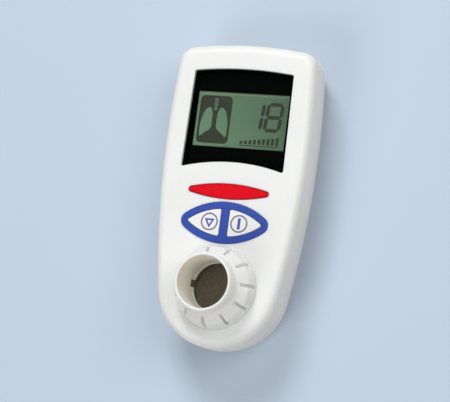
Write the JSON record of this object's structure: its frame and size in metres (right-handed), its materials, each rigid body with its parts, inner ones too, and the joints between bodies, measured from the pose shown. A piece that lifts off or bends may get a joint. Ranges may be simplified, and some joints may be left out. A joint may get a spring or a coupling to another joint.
{
  "type": "hydrogen breath analyzer",
  "caption": "Hand-held breath gas meter: rounded white case, display window, leaf-framed keys and an upright round breath spout with a lobed ring.",
  "frame": {"origin": "on the resting face (the back of the case), under the middle of the case's outline", "axes": "+Z out of the display face, along the breath spout; +Y towards the display end; +X to the reader's right"},
  "size_m": [0.0644, 0.1314, 0.047],
  "materials": {
    "white_case": "fine satin",
    "clear_window": "polished",
    "black_plastic": "satin",
    "display_glass": "satin",
    "light_guide": "frosted",
    "black_rubber": "matt",
    "circuit_board": "solder mask",
    "blue_plastic": "satin",
    "key_plastic": "satin",
    "red_plastic": "gloss",
    "dark_plastic": "matt",
    "filter_foam": "open foam",
    "sensor_can": "satin",
    "screw_steel": "zinc plated",
    "cell_steel": "plain sleeve",
    "contact_metal": "nickel plated"
  },
  "bodies": {
    "case": {"front_cover": "white_case", "breath_spout": "white_case", "rear_cover": "white_case", "display_window": "clear_window", "lcd_bezel": "black_plastic", "lcd_panel": "display_glass", "lcd_backlight": "light_guide", "lcd_connector": "black_rubber", "main_board": "circuit_board", "key_frame": "blue_plastic", "left_switch": "black_plastic", "right_switch": "black_plastic", "name_plate": "red_plastic", "sample_chamber": "dark_plastic", "dust_filter": "filter_foam", "port_seal": "black_rubber", "sensor_seal": "black_rubber", "hydrogen_sensor": "sensor_can", "sensor_board": "circuit_board", "sounder": "black_plastic", "microcontroller": "black_plastic", "case_screws": "screw_steel", "board_screws": "screw_steel", "battery_cells": "cell_steel", "battery_contacts": "contact_metal"},
    "left_key": {"left_key": "key_plastic", "left_plunger": "black_plastic"},
    "right_key": {"right_key": "key_plastic", "right_plunger": "black_plastic"},
    "battery_door": {"battery_door": "white_case"}
  },
  "joints": [
    {"name": "left_key_press", "type": "slide", "parent": "case", "child": "left_key", "axis": [0, 0, -1], "range_m": [0, 0.0007], "stiffness_N_per_m": 1500, "springref_m": -0.0002},
    {"name": "right_key_press", "type": "slide", "parent": "case", "child": "right_key", "axis": [0, 0, -1], "range_m": [0, 0.0007], "stiffness_N_per_m": 1500, "springref_m": -0.0002},
    {"name": "battery_door_slide", "type": "slide", "parent": "case", "child": "battery_door", "axis": [0, 1, 0], "range_m": [0, 0.063]}
  ]
}
